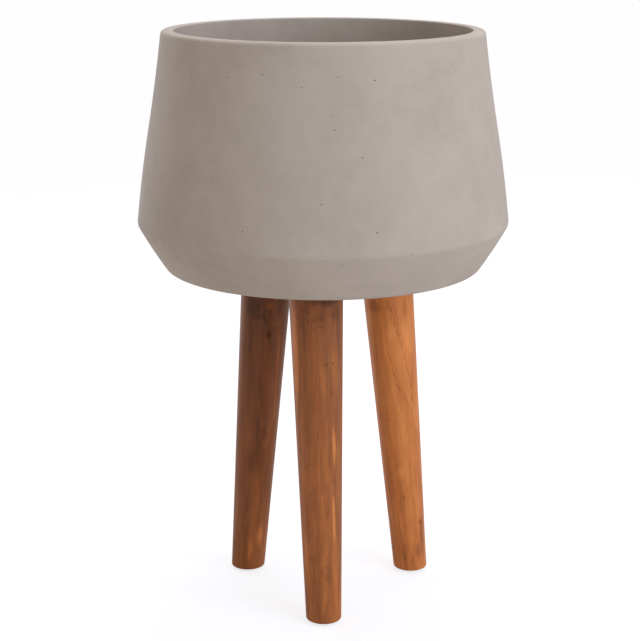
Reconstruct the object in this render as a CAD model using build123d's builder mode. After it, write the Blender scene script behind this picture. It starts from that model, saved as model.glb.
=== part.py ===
from build123d import *
from math import cos, pi, radians, sin, tan
import os

# Planter: a cast fibre-cement pot bolted on three splayed wooden legs.
# Millimetres, +Z up, front towards -Y, origin on the floor under the pot's axis.

# Pot, with heights counted from its underside and radii from its axis
pot_height = 253.9
fold_height = 49.8
rim_radius = 171.0
fold_radius = 200.6
base_radius = 170.0
wall_thickness = 13.0
floor_thickness = 16.0

# The chamfer under the fold bows out. The wall swells in its lower half and hollows in
# its upper half, and its middle stands a little outside the straight line.
chamfer_bow = 0.8
wall_swell = 0.9
wall_hollow = 0.7
wall_middle_bow = 0.4

# Rounded edges of the pot
rim_outer_round = 4.5
rim_inner_round = 1.2
fold_round = 9.0
base_round = 7.5
inner_fold_round = 12.0
inner_floor_round = 14.0

# Fall of the pot's floor towards the drain, and the raised pads round the bolts
floor_fall = 2.5
pad_radius = 21.0
pad_height = 2.5
pad_round = 1.8

# Drain hole in the middle of the floor, with a sunk seat for the plug's flange
drain_radius = 12.0
drain_seat_radius = 18.5
drain_seat_depth = 2.0
drain_lip = 1.5

# Legs, each a round taper from the pot's underside down to its foot
seat_height = 375.5
leg_top_radius = 29.1
leg_foot_radius = 19.2
leg_top_ease = 0.6
leg_foot_round = 1.8
bolt_circle_radius = 76.0
foot_circle_radius = 104.0

# Where each leg stands, as angles about the pot's axis from the front towards +X.
# A leg can turn on its upright bolt until the nut is tight, so the stance is a little uneven.
bolt_azimuths = {"front": -6.0, "right": 114.0, "left": -126.0}
foot_azimuths = {"front": 0.4, "right": 112.0, "left": -116.9}
foot_reach_shares = {"front": 0.988, "right": 1.062, "left": 0.953}

# Hanger bolt: the wood end is driven down into the leg, the machine end stands up in the pot
bolt_radius = 4.0
bolt_wood_radius = 3.6
bolt_neck_radius = 3.3
bolt_neck_length = 3.0
bolt_wood_length = 45.0
bolt_point_length = 7.0
bolt_point_radius = 0.8
bolt_end_above_nut = 5.0
bolt_end_chamfer = 0.8
bolt_hole_clearance = 0.5
driven_clearance = 0.02
drill_depth_allowance = 2.0

# Rubber washer, wide steel washer and nut on the machine end
seal_radius = 14.0
seal_thickness = 3.0
penny_radius = 15.0
penny_thickness = 1.5
penny_edge = 0.3
washer_clearance = 0.3
nut_sides = 6
nut_across_flats = 13.0
nut_height = 6.5
nut_bore_clearance = 0.02
nut_bevel_angle = 30.0

# Nylon glide under each foot, moulded on the head of a nail
glide_radius = 10.5
glide_thickness = 3.0
glide_edge = 0.8
nail_radius = 1.2
nail_length = 16.0
nail_point_length = 3.0
nail_point_radius = 0.3
nail_head_radius = 4.0
nail_head_thickness = 0.8
nail_head_cover = 1.2

# Rubber drain plug: a tapered stem in the hole, a flange on the seat and a knob to pull
plug_clearance = 0.3
plug_taper = 0.8
plug_lead = 1.5
plug_recess = 2.0
plug_flange_clearance = 0.8
plug_flange_thickness = 3.0
plug_flange_round = 1.0
plug_neck_radius = 4.5
plug_neck_height = 5.0
plug_knob_radius = 8.5
plug_knob_height = 5.0
plug_knob_round = 2.2

# Overrun of every cut past the face it starts from
cut_overrun = 5.0

leg_names = ("front", "right", "left")
up = (0, 0, 1)

# Levels above the floor that several pieces share
floor_level = seat_height + floor_thickness
pad_level = floor_level + pad_height
drain_seat_level = floor_level - floor_fall - drain_seat_depth
penny_level = pad_level + seal_thickness
nut_level = penny_level + penny_thickness


def around(radius, azimuth, height):
    """A point at a radius and an angle about the pot's axis."""
    turn = radians(azimuth)
    return Vector(radius * sin(turn), -radius * cos(turn), height)


def bolt_point(name, height):
    """The middle of a leg's upright bolt at a height."""
    return around(bolt_circle_radius, bolt_azimuths[name], height)


def foot_point(name, height):
    """The middle of a leg's foot, at a height near the floor."""
    return around(foot_circle_radius * foot_reach_shares[name], foot_azimuths[name], height)


def upright_plane(origin):
    """A sketch plane through a point whose x is the radius and whose y is the height."""
    return Plane(origin=origin, x_dir=(1, 0, 0), z_dir=(0, -1, 0))


def inset_corner(before, corner, after):
    """The corner of the wall's inner face opposite an outer corner."""
    below = (corner - before).normalized().rotate(Axis.Z, 90)
    above = (after - corner).normalized().rotate(Axis.Z, 90)
    return corner + (below + above) * wall_thickness / (1 + below.dot(above))


def at_height(point, direction, height):
    """Where the line through a point reaches a height of the section."""
    return point + direction * (height - point.Y) / direction.Y


def bowed_middle(low, high):
    """The middle of one face of the wall, moved out from the line between its ends."""
    return (low + high) / 2 + (high - low).normalized().rotate(Axis.Z, -90) * wall_middle_bow


def finish(part, name):
    """Label a piece and write it as its own file."""
    part.label = name
    export_step(part, f"parts/{name}.step")


os.makedirs("parts", exist_ok=True)

# Pot: the section of the wall and floor, with x as the radius and y above the underside
base_corner = Vector(base_radius, 0)
fold_corner = Vector(fold_radius, fold_height)
rim_corner = Vector(rim_radius, pot_height)
inner_fold = inset_corner(base_corner, fold_corner, rim_corner)
inner_rim = at_height(inner_fold, rim_corner - fold_corner, pot_height)
inner_floor = at_height(inner_fold, fold_corner - base_corner, floor_thickness)
floor_middle = Vector(0, floor_thickness - floor_fall)
wall_middle = bowed_middle(fold_corner, rim_corner)
inner_middle = bowed_middle(inner_fold, inner_rim)

rounds = (
    (base_corner, base_round),
    (fold_corner, fold_round),
    (rim_corner, rim_outer_round),
    (inner_rim, rim_inner_round),
    (inner_fold, inner_fold_round),
    (inner_floor, inner_floor_round),
)

# The drain's opening, from the bevelled mouth in the underside up through the seat
drain_seat = floor_thickness - floor_fall - drain_seat_depth
drain_outline = (
    (0, -cut_overrun),
    (drain_radius + drain_lip + cut_overrun, -cut_overrun),
    (drain_radius, drain_lip),
    (drain_radius, drain_seat),
    (drain_seat_radius, drain_seat),
    (drain_seat_radius, floor_thickness + cut_overrun),
    (0, floor_thickness + cut_overrun),
)

with BuildPart() as pot:
    with BuildSketch(upright_plane((0, 0, seat_height))) as section:
        with BuildLine():
            Line((0, 0), base_corner)
            SagittaArc(base_corner, fold_corner, -chamfer_bow)
            SagittaArc(fold_corner, wall_middle, -wall_swell)
            SagittaArc(wall_middle, rim_corner, wall_hollow)
            Line(rim_corner, inner_rim)
            SagittaArc(inner_rim, inner_middle, -wall_hollow)
            SagittaArc(inner_middle, inner_fold, wall_swell)
            Polyline(inner_fold, inner_floor, floor_middle, (0, 0))
        make_face()
        for corner, corner_round in rounds:
            fillet(section.vertices().sort_by_distance(corner)[0], corner_round)
    revolve(axis=Axis.Z)
    with BuildSketch(Plane.XY.offset(pad_level)):
        with Locations([bolt_point(name, 0) for name in leg_names]):
            Circle(pad_radius)
    extrude(amount=-pad_height - floor_fall)
    fillet(pot.edges().filter_by_position(Axis.Z, pad_level, pad_level), pad_round)
    with Locations([bolt_point(name, pad_level) for name in leg_names]):
        Hole(bolt_radius + bolt_hole_clearance)
    with BuildSketch(upright_plane((0, 0, seat_height))):
        with BuildLine():
            Polyline(*drain_outline, close=True)
        make_face()
    revolve(axis=Axis.Z, mode=Mode.SUBTRACT)

finish(pot.part, "pot")


def make_leg(name):
    """One leg, cut level at both ends, with its bolt and nail holes."""
    top = bolt_point(name, seat_height)
    foot = foot_point(name, glide_thickness)
    run = top - foot
    side = run.cross(Vector(up)).normalized()
    lean = Vector(run.X, run.Y).length / run.Z
    spare = leg_top_radius * lean + cut_overrun
    taper = (leg_top_radius - leg_foot_radius) / run.length
    outline = (
        (0, -spare),
        (leg_foot_radius - taper * spare, -spare),
        (leg_top_radius + taper * spare, run.length + spare),
        (0, run.length + spare),
    )
    with BuildPart() as leg:
        with BuildSketch(Plane(origin=foot, x_dir=side, z_dir=side.cross(run))):
            with BuildLine():
                Polyline(*outline, close=True)
            make_face()
        revolve(axis=Axis(foot, run))
        split(bisect_by=Plane.XY.offset(seat_height), keep=Keep.BOTTOM)
        split(bisect_by=Plane.XY.offset(glide_thickness), keep=Keep.TOP)
        fillet(leg.faces().sort_by(Axis.Z)[0].edges(), leg_foot_round)
        chamfer(leg.faces().sort_by(Axis.Z)[-1].edges(), leg_top_ease)
        with Locations(top):
            Hole(bolt_wood_radius + driven_clearance, bolt_wood_length + drill_depth_allowance)
        with Locations(foot):
            Hole(nail_radius + driven_clearance, nail_length + drill_depth_allowance)
    return leg.part


def make_hanger_bolt(name):
    """A bolt with a pointed wood end below the leg's top and a machine end above it."""
    end = nut_level + nut_height + bolt_end_above_nut - seat_height
    outline = (
        (0, -bolt_wood_length),
        (bolt_point_radius, -bolt_wood_length),
        (bolt_wood_radius, bolt_point_length - bolt_wood_length),
        (bolt_wood_radius, -bolt_neck_length),
        (bolt_neck_radius, -bolt_neck_length),
        (bolt_neck_radius, 0),
        (bolt_radius, 0),
        (bolt_radius, end - bolt_end_chamfer),
        (bolt_radius - bolt_end_chamfer, end),
        (0, end),
    )
    place = bolt_point(name, seat_height)
    with BuildPart() as bolt:
        with BuildSketch(upright_plane(place)):
            with BuildLine():
                Polyline(*outline, close=True)
            make_face()
        revolve(axis=Axis(place, up))
    return bolt.part


def make_sealing_washer(name):
    """The rubber washer that seals the bolt's hole."""
    with BuildPart() as seal:
        with BuildSketch(Plane(bolt_point(name, pad_level))):
            Circle(seal_radius)
        extrude(amount=seal_thickness)
        with Locations(bolt_point(name, penny_level)):
            Hole(bolt_radius + washer_clearance)
    return seal.part


def make_penny_washer(name):
    """The wide steel washer that spreads the nut's load."""
    with BuildPart() as penny:
        with BuildSketch(Plane(bolt_point(name, penny_level))):
            Circle(penny_radius)
        extrude(amount=penny_thickness)
        chamfer(penny.edges().group_by(Axis.Z)[-1], penny_edge)
        with Locations(bolt_point(name, nut_level)):
            Hole(bolt_radius + washer_clearance)
    return penny.part


def make_hex_nut(name):
    """A hexagon nut with both ends bevelled to its flats."""
    flat = nut_across_flats / 2
    corner = flat / cos(pi / nut_sides)
    bevel = (corner - flat) * tan(radians(nut_bevel_angle))
    place = bolt_point(name, nut_level)
    outline = (
        (0, 0),
        (flat, 0),
        (corner, bevel),
        (corner, nut_height - bevel),
        (flat, nut_height),
        (0, nut_height),
    )
    with BuildPart() as nut:
        with BuildSketch(Plane(place)):
            RegularPolygon(flat, nut_sides, major_radius=False, rotation=bolt_azimuths[name])
        extrude(amount=nut_height)
        with BuildSketch(upright_plane(place)):
            with BuildLine():
                Polyline(*outline, close=True)
            make_face()
        revolve(axis=Axis(place, up), mode=Mode.INTERSECT)
        with Locations(place):
            Hole(bolt_radius + nut_bore_clearance)
    return nut.part


# Heights of the nail above the floor: its head lies inside the glide
nail_head_top = nail_head_cover + nail_head_thickness
nail_outline = (
    (0, nail_head_cover),
    (nail_head_radius, nail_head_cover),
    (nail_head_radius, nail_head_top),
    (nail_radius, nail_head_top),
    (nail_radius, nail_length - nail_point_length),
    (nail_point_radius, nail_length),
    (0, nail_length),
)


def make_glide_nail(name):
    """The nail that holds a glide, with its point up in the leg."""
    place = foot_point(name, 0)
    with BuildPart() as nail:
        with BuildSketch(upright_plane(place)):
            with BuildLine():
                Polyline(*nail_outline, close=True)
            make_face()
        revolve(axis=Axis(place, up))
    return nail.part


def make_foot_glide(name):
    """The glide on the floor, moulded round the nail's head."""
    place = foot_point(name, 0)
    with BuildPart() as glide:
        with BuildSketch(Plane(place)):
            Circle(glide_radius)
        extrude(amount=glide_thickness)
        chamfer(glide.edges().group_by(Axis.Z)[0], glide_edge)
        with BuildSketch(upright_plane(place)):
            with BuildLine():
                Polyline(*nail_outline, close=True)
            make_face()
        revolve(axis=Axis(place, up), mode=Mode.SUBTRACT)
    return glide.part


for leg_name in leg_names:
    finish(make_leg(leg_name), f"leg_{leg_name}")
    finish(make_hanger_bolt(leg_name), f"hanger_bolt_{leg_name}")
    finish(make_sealing_washer(leg_name), f"sealing_washer_{leg_name}")
    finish(make_penny_washer(leg_name), f"penny_washer_{leg_name}")
    finish(make_hex_nut(leg_name), f"hex_nut_{leg_name}")
    finish(make_glide_nail(leg_name), f"glide_nail_{leg_name}")
    finish(make_foot_glide(leg_name), f"foot_glide_{leg_name}")

# Drain plug: the section of the whole plug, from the stem's end up to the knob
stem_end = seat_height + plug_recess
stem_radius = drain_radius - plug_clearance
flange_radius = drain_seat_radius - plug_flange_clearance
flange_top = drain_seat_level + plug_flange_thickness
knob_base = flange_top + plug_neck_height
knob_top = knob_base + plug_knob_height

plug_outline = (
    (0, stem_end),
    (stem_radius - plug_taper - plug_lead, stem_end),
    (stem_radius - plug_taper, stem_end + plug_lead),
    (stem_radius, drain_seat_level),
    (flange_radius, drain_seat_level),
    (flange_radius, flange_top),
    (plug_neck_radius, flange_top),
    (plug_neck_radius, knob_base),
    (plug_knob_radius, knob_base),
    (plug_knob_radius, knob_top),
    (0, knob_top),
)
plug_rounds = (
    ((flange_radius, flange_top), plug_flange_round),
    ((plug_knob_radius, knob_base), plug_knob_round),
    ((plug_knob_radius, knob_top), plug_knob_round),
)

with BuildPart() as drain_plug:
    with BuildSketch(upright_plane((0, 0, 0))) as plug_section:
        with BuildLine():
            Polyline(*plug_outline, close=True)
        make_face()
        for corner, corner_round in plug_rounds:
            fillet(plug_section.vertices().sort_by_distance(corner)[0], corner_round)
    revolve(axis=Axis.Z)

finish(drain_plug.part, "drain_plug")
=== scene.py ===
"""Planter with stand: a cast fibre-cement pot on three turned teak legs."""

import logging
import math
import random
from dataclasses import dataclass, field
from enum import Enum
from typing import Any, Mapping, Sequence

import bpy
from mathutils import Matrix, Vector


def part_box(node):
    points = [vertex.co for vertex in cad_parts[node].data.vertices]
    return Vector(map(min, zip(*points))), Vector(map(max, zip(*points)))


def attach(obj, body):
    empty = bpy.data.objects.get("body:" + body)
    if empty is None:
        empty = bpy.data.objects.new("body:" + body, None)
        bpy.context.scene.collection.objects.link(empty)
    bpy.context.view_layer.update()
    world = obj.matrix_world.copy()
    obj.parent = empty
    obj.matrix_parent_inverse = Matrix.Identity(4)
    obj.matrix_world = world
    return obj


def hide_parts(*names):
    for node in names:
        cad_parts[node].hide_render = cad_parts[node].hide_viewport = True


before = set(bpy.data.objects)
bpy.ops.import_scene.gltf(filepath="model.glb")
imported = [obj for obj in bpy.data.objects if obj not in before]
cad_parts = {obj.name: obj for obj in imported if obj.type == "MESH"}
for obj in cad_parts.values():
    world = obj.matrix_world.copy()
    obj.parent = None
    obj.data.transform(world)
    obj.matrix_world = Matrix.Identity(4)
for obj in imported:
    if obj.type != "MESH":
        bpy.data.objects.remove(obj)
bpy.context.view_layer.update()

log = logging.getLogger("planter")

MM = 0.001
WELD = 0.005 * MM
SHARP_ANGLE = math.radians(35)


class Side(Enum):
    """The three legs, by where they stand."""

    FRONT = "front"
    RIGHT = "right"
    LEFT = "left"


class Slot(Enum):
    """The record's material slots for the modelled pieces, which this script does not use."""

    CEMENT = "fibre_cement"
    STEEL = "zinc_steel"
    RUBBER = "black_rubber"


class Operation(Enum):
    """What a boolean modifier does with its tool."""

    CUT = "DIFFERENCE"
    JOIN = "UNION"
    KEEP = "INTERSECT"


class Solver(Enum):
    """How a boolean modifier finds its cut: for closed meshes only, or for any mesh."""

    CLOSED = "MANIFOLD"
    ANY = "EXACT"


def linear(hex_colour: str) -> tuple[float, float, float, float]:
    """Turn an sRGB hex colour into the linear values that shaders take.

    Args:
        hex_colour: Six hex digits, such as "b0a69e".

    Returns:
        Linear red, green and blue, and an alpha of one.
    """
    channels = [int(hex_colour[i:i + 2], 16) / 255 for i in (0, 2, 4)]
    curve = [c / 12.92 if c <= 0.04045 else ((c + 0.055) / 1.055) ** 2.4 for c in channels]
    return (curve[0], curve[1], curve[2], 1.0)


def add_node(
    tree: bpy.types.NodeTree,
    kind: str,
    settings: Mapping[str, Any] | None = None,
    inputs: Mapping[str | int, Any] | None = None,
) -> bpy.types.Node:
    """Add a node to a material, with its settings and links.

    Args:
        tree: The material's node tree.
        kind: The node's type after "ShaderNode", such as "TexNoise".
        settings: Attributes of the node itself.
        inputs: Values for its input sockets, or the sockets that feed them.

    Returns:
        The new node.
    """
    node = tree.nodes.new("ShaderNode" + kind)
    for name, value in (settings or {}).items():
        setattr(node, name, value)
    for name, value in (inputs or {}).items():
        if isinstance(value, bpy.types.NodeSocket):
            tree.links.new(value, node.inputs[name])
        else:
            node.inputs[name].default_value = value
    return node


def new_material(name: str) -> tuple[bpy.types.Material, bpy.types.NodeTree]:
    """Start an empty node material.

    Args:
        name: The real material and how its surface was made.

    Returns:
        The material and its cleared node tree.
    """
    material = bpy.data.materials.new(name)
    material.use_nodes = True
    material.node_tree.nodes.clear()
    return material, material.node_tree


def dress(piece: bpy.types.Object, material: bpy.types.Material) -> None:
    """Give a piece its one material.

    Args:
        piece: A CAD node's object or a modelled piece.
        material: Its finish.
    """
    if not piece.data.materials:
        piece.data.materials.append(material)
    for slot in piece.material_slots:
        slot.material = material


def middle(node: str) -> Vector:
    """The middle of a CAD node's box at rest, in metres."""
    low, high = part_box(node)
    return (Vector(low) + Vector(high)) / 2


def deselect() -> None:
    """Leave nothing selected, so that the next operator acts on its own piece."""
    bpy.ops.object.select_all(action="DESELECT")


def activate(piece: bpy.types.Object) -> None:
    """Make a piece the only one that operators act on.

    Args:
        piece: The piece to work on.
    """
    deselect()
    piece.select_set(True)
    bpy.context.view_layer.objects.active = piece


def edit_all(piece: bpy.types.Object) -> None:
    """Open a piece in edit mode with all of its mesh selected.

    Args:
        piece: The piece to work on.
    """
    activate(piece)
    bpy.ops.object.mode_set(mode="EDIT")
    bpy.ops.mesh.select_mode(type="VERT")
    bpy.ops.mesh.select_all(action="SELECT")


def close_edit() -> None:
    """Weld what is selected, turn its faces outwards and leave edit mode."""
    bpy.ops.mesh.remove_doubles(threshold=WELD)
    bpy.ops.mesh.normals_make_consistent(inside=False)
    bpy.ops.object.mode_set(mode="OBJECT")


def combine(
    piece: bpy.types.Object, tool: bpy.types.Object, operation: Operation,
    solver: Solver = Solver.CLOSED,
) -> None:
    """Cut, join or intersect a piece with a tool, which is used up.

    Args:
        piece: The piece that is shaped.
        tool: The closed mesh that shapes it.
        operation: What the tool does.
        solver: How the cut is found.
    """
    activate(piece)
    bpy.ops.object.modifier_add(type="BOOLEAN")
    modifier = piece.modifiers[-1]
    modifier.operation = operation.value
    modifier.solver = solver.value
    modifier.object = tool
    bpy.ops.object.modifier_apply(modifier=modifier.name)
    bpy.data.objects.remove(tool, do_unlink=True)


def join(pieces: Sequence[bpy.types.Object]) -> bpy.types.Object:
    """Join several meshes into the first one.

    Args:
        pieces: Meshes that don't touch.

    Returns:
        The first piece, which now holds all of them.
    """
    activate(pieces[0])
    for piece in pieces[1:]:
        piece.select_set(True)
    bpy.ops.object.join()
    return pieces[0]


def moved_copy(piece: bpy.types.Object, name: str, step: Vector) -> bpy.types.Object:
    """Copy a piece with a mesh of its own, and move that mesh.

    Args:
        piece: The model for the copy.
        name: The copy's name.
        step: How far its mesh moves.

    Returns:
        The copy, with its object at the origin.
    """
    copy = bpy.data.objects.new(name, piece.data.copy())
    bpy.context.scene.collection.objects.link(copy)
    copy.data.transform(Matrix.Translation(step))
    return copy


@dataclass(frozen=True)
class Corner:
    """A corner of a turned section, in millimetres, and the side that leaves it.

    A positive bow swells the side to the right of its run, which is outwards where the
    section runs up the outside of the piece.
    """

    radius: float
    height: float
    round: float = 0.0
    bow: float = 0.0
    cuts: int = 1

    @property
    def place(self) -> Vector:
        """The corner as a point of the section."""
        return Vector((self.radius, self.height))


@dataclass(frozen=True)
class Section:
    """The section of a turned piece: corners with rounds, and sides that bow as parabolas."""

    corners: Sequence[Corner]
    closed: bool = False
    round_cuts: int = 6

    def tangent(self, index: int, at_end: bool) -> Vector:
        """The unit direction of a side at one of its ends.

        Args:
            index: The corner that the side leaves.
            at_end: Whether the direction is taken where the side arrives.

        Returns:
            The direction of the side's run there.
        """
        start = self.corners[index % len(self.corners)]
        run = self.corners[(index + 1) % len(self.corners)].place - start.place
        out = Vector((run.y, -run.x)).normalized()
        slope = 4 * start.bow
        return (run - out * slope if at_end else run + out * slope).normalized()

    def turn(self, index: int) -> float:
        """Find how far the section turns at a corner.

        Args:
            index: The corner.

        Returns:
            The angle, positive where the section turns left.
        """
        arriving = self.tangent(index - 1, True)
        leaving = self.tangent(index, False)
        return math.atan2(arriving.cross(leaving), arriving.dot(leaving))

    def trim(self, index: int) -> float:
        """How much of each side a corner's round takes up."""
        corner = self.corners[index % len(self.corners)]
        return corner.round * math.tan(abs(self.turn(index)) / 2) if corner.round else 0.0

    def arc(self, index: int) -> list[Vector]:
        """Find the points of a corner's round.

        Args:
            index: The corner.

        Returns:
            The points along the round, or the corner itself where it has none.
        """
        corner = self.corners[index]
        if not corner.round:
            return [corner.place]
        arriving = self.tangent(index - 1, True)
        turn = self.turn(index)
        inward = Vector((-arriving.y, arriving.x)) * math.copysign(corner.round, turn)
        start = corner.place - arriving * self.trim(index)
        steps = [turn * i / self.round_cuts for i in range(self.round_cuts + 1)]
        return [start + inward - Matrix.Rotation(step, 2) @ inward for step in steps]

    def side(self, index: int) -> list[Vector]:
        """Find the points of a side between the rounds at its two ends.

        Args:
            index: The corner that the side leaves.

        Returns:
            The points inside the side, without its ends.
        """
        corner = self.corners[index]
        run = self.corners[(index + 1) % len(self.corners)].place - corner.place
        out = Vector((run.y, -run.x)).normalized() * corner.bow * 4
        low = self.trim(index) / run.length
        high = 1 - self.trim(index + 1) / run.length
        shares = [low + (high - low) * i / corner.cuts for i in range(1, corner.cuts)]
        return [corner.place + run * t + out * t * (1 - t) for t in shares]

    def points(self) -> list[Vector]:
        """Find all points of the section.

        Returns:
            The points in metres, back to the first where the section is closed.
        """
        found = []
        for index in range(len(self.corners)):
            found += self.arc(index)
            if self.closed or index < len(self.corners) - 1:
                found += self.side(index)
        if self.closed:
            found.append(found[0])
        return [point * MM for point in found]


def draw(name: str, points: Sequence[Vector]) -> bpy.types.Object:
    """Draw a section by extruding one vertex from point to point.

    Args:
        name: The new piece's name.
        points: Radii and heights in metres.

    Returns:
        The piece, open in edit mode with all of it selected.
    """
    deselect()
    bpy.ops.mesh.primitive_plane_add(size=MM)
    piece = bpy.context.object
    piece.name = name
    edit_all(piece)
    bpy.ops.mesh.merge(type="CENTER")
    bpy.ops.transform.translate(value=(points[0].x, 0, points[0].y))
    for before, after in zip(points, points[1:]):
        step = after - before
        bpy.ops.mesh.extrude_region_move(TRANSFORM_OT_translate={"value": (step.x, 0, step.y)})
    bpy.ops.mesh.select_all(action="SELECT")
    return piece


def turned(name: str, section: Section, facets: int) -> bpy.types.Object:
    """Turn a section about the upright axis, as on a lathe.

    Args:
        name: The new piece's name.
        section: The section, closed or with both ends on the axis.
        facets: How many faces go round the axis.

    Returns:
        A closed piece that is smooth but for its sharp edges.
    """
    piece = draw(name, section.points())
    bpy.ops.mesh.remove_doubles(threshold=WELD)
    bpy.ops.mesh.spin(steps=facets, angle=math.tau, center=(0, 0, 0), axis=(0, 0, 1))
    bpy.ops.mesh.select_all(action="SELECT")
    close_edit()
    bpy.ops.object.shade_smooth_by_angle(angle=SHARP_ANGLE)
    return piece


@dataclass(frozen=True)
class PhotoCamera:
    """The photograph's viewpoint, in metres, degrees and pixels."""

    distance: float = 1.7453
    height: float = 0.7683
    pitch: float = 14.68
    focal_px: float = 1632.3
    axis_px: float = 323.1
    image_px: tuple[int, int] = (640, 641)
    sensor_mm: float = 36.0

    def build(self) -> bpy.types.Object:
        """Create the camera and make it the scene's own.

        Returns:
            The camera object.
        """
        data = bpy.data.cameras.new("photo_camera")
        longest = max(self.image_px)
        data.sensor_width = self.sensor_mm
        data.lens = self.focal_px * self.sensor_mm / longest
        data.shift_x = (self.image_px[0] / 2 - self.axis_px) / longest
        camera = bpy.data.objects.new("photo_camera", data)
        camera.location = (0, -self.distance, self.height)
        camera.rotation_euler = (math.radians(90 - self.pitch), 0, 0)
        bpy.context.scene.collection.objects.link(camera)
        bpy.context.scene.camera = camera
        return camera

    def ray(self, pixel: tuple[float, float]) -> tuple[Vector, Vector]:
        """The line of sight through a pixel of the photograph.

        Args:
            pixel: Column and row, counted from the top left.

        Returns:
            The camera's place and the unit direction.
        """
        across = (pixel[0] - self.axis_px) / self.focal_px
        rise = (self.image_px[1] / 2 - pixel[1]) / self.focal_px
        turn = math.radians(self.pitch)
        ahead = Vector((0, math.cos(turn), -math.sin(turn)))
        above = Vector((0, math.sin(turn), math.cos(turn)))
        direction = ahead + above * rise + Vector((1, 0, 0)) * across
        return Vector((0, -self.distance, self.height)), direction.normalized()


@dataclass(frozen=True)
class Cloud:
    """One scale of the cement's unevenness, with its size in millimetres."""

    size: float
    detail: float
    gain: float


@dataclass(frozen=True)
class FibreCement:
    """Fibre cement cast in a smooth mould and left bare.

    It gives the eye a dry, warm grey face with soft clouds where the mix dried unevenly, a
    grain like fine sandpaper, and dark pin holes where air bubbles sat against the mould.
    """

    name: str = "fibre_cement_cast_and_dried"
    pale: str = "b7aeaa"
    deep: str = "aaa09b"
    moss: str = "aba49b"
    # The last scale is the grit, drawn coarser than real grit so that it shows
    clouds: Sequence[Cloud] = (Cloud(95.0, 3.0, 0.75), Cloud(14.0, 4.0, 0.35), Cloud(0.9, 2.0, 0.30))
    least_dry: float = 0.06
    drying_range: tuple[float, float] = (0.45, 0.95)
    damp: Cloud = Cloud(60.0, 2.0, 0.35)
    damp_range: tuple[float, float] = (0.48, 0.75)
    damp_swirl: float = 0.4
    roughness: float = 0.88
    specular: float = 0.28
    grit_height_mm: float = 0.10
    grit_bump: float = 0.35

    def build(self) -> bpy.types.Material:
        """Make the material.

        Returns:
            The finished material.
        """
        material, tree = new_material(self.name)
        place = add_node(tree, "TexCoord").outputs["Object"]
        share: Any = self.least_dry
        for cloud in self.clouds:
            grit = add_node(tree, "TexNoise", None, {
                "Vector": place, "Scale": 1 / (cloud.size * MM), "Detail": cloud.detail})
            share = add_node(tree, "Math", {"operation": "MULTIPLY_ADD"}, {
                0: grit.outputs["Fac"], 1: cloud.gain, 2: share}).outputs[0]
        drying = add_node(tree, "MapRange", {"interpolation_type": "SMOOTHSTEP"}, {
            "Value": share, "From Min": self.drying_range[0], "From Max": self.drying_range[1]})
        tone = add_node(tree, "MixRGB", None, {
            "Fac": drying.outputs["Result"],
            "Color1": linear(self.deep), "Color2": linear(self.pale)})
        damp = add_node(tree, "TexNoise", None, {
            "Vector": place, "Scale": 1 / (self.damp.size * MM), "Detail": self.damp.detail,
            "Distortion": self.damp_swirl})
        patch = add_node(tree, "MapRange", {"interpolation_type": "SMOOTHSTEP"}, {
            "Value": damp.outputs["Fac"], "From Min": self.damp_range[0],
            "From Max": self.damp_range[1], "To Max": self.damp.gain})
        colour = add_node(tree, "MixRGB", None, {
            "Fac": patch.outputs["Result"],
            "Color1": tone.outputs["Color"], "Color2": linear(self.moss)})
        bump = add_node(tree, "Bump", None, {
            "Strength": self.grit_bump, "Distance": self.grit_height_mm * MM,
            "Height": grit.outputs["Fac"]})
        shader = add_node(tree, "BsdfPrincipled", None, {
            "Base Color": colour.outputs["Color"],
            "Roughness": self.roughness,
            "Specular IOR Level": self.specular,
            "Normal": bump.outputs["Normal"]})
        add_node(tree, "OutputMaterial", None, {"Surface": shader.outputs["BSDF"]})
        return material


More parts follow.
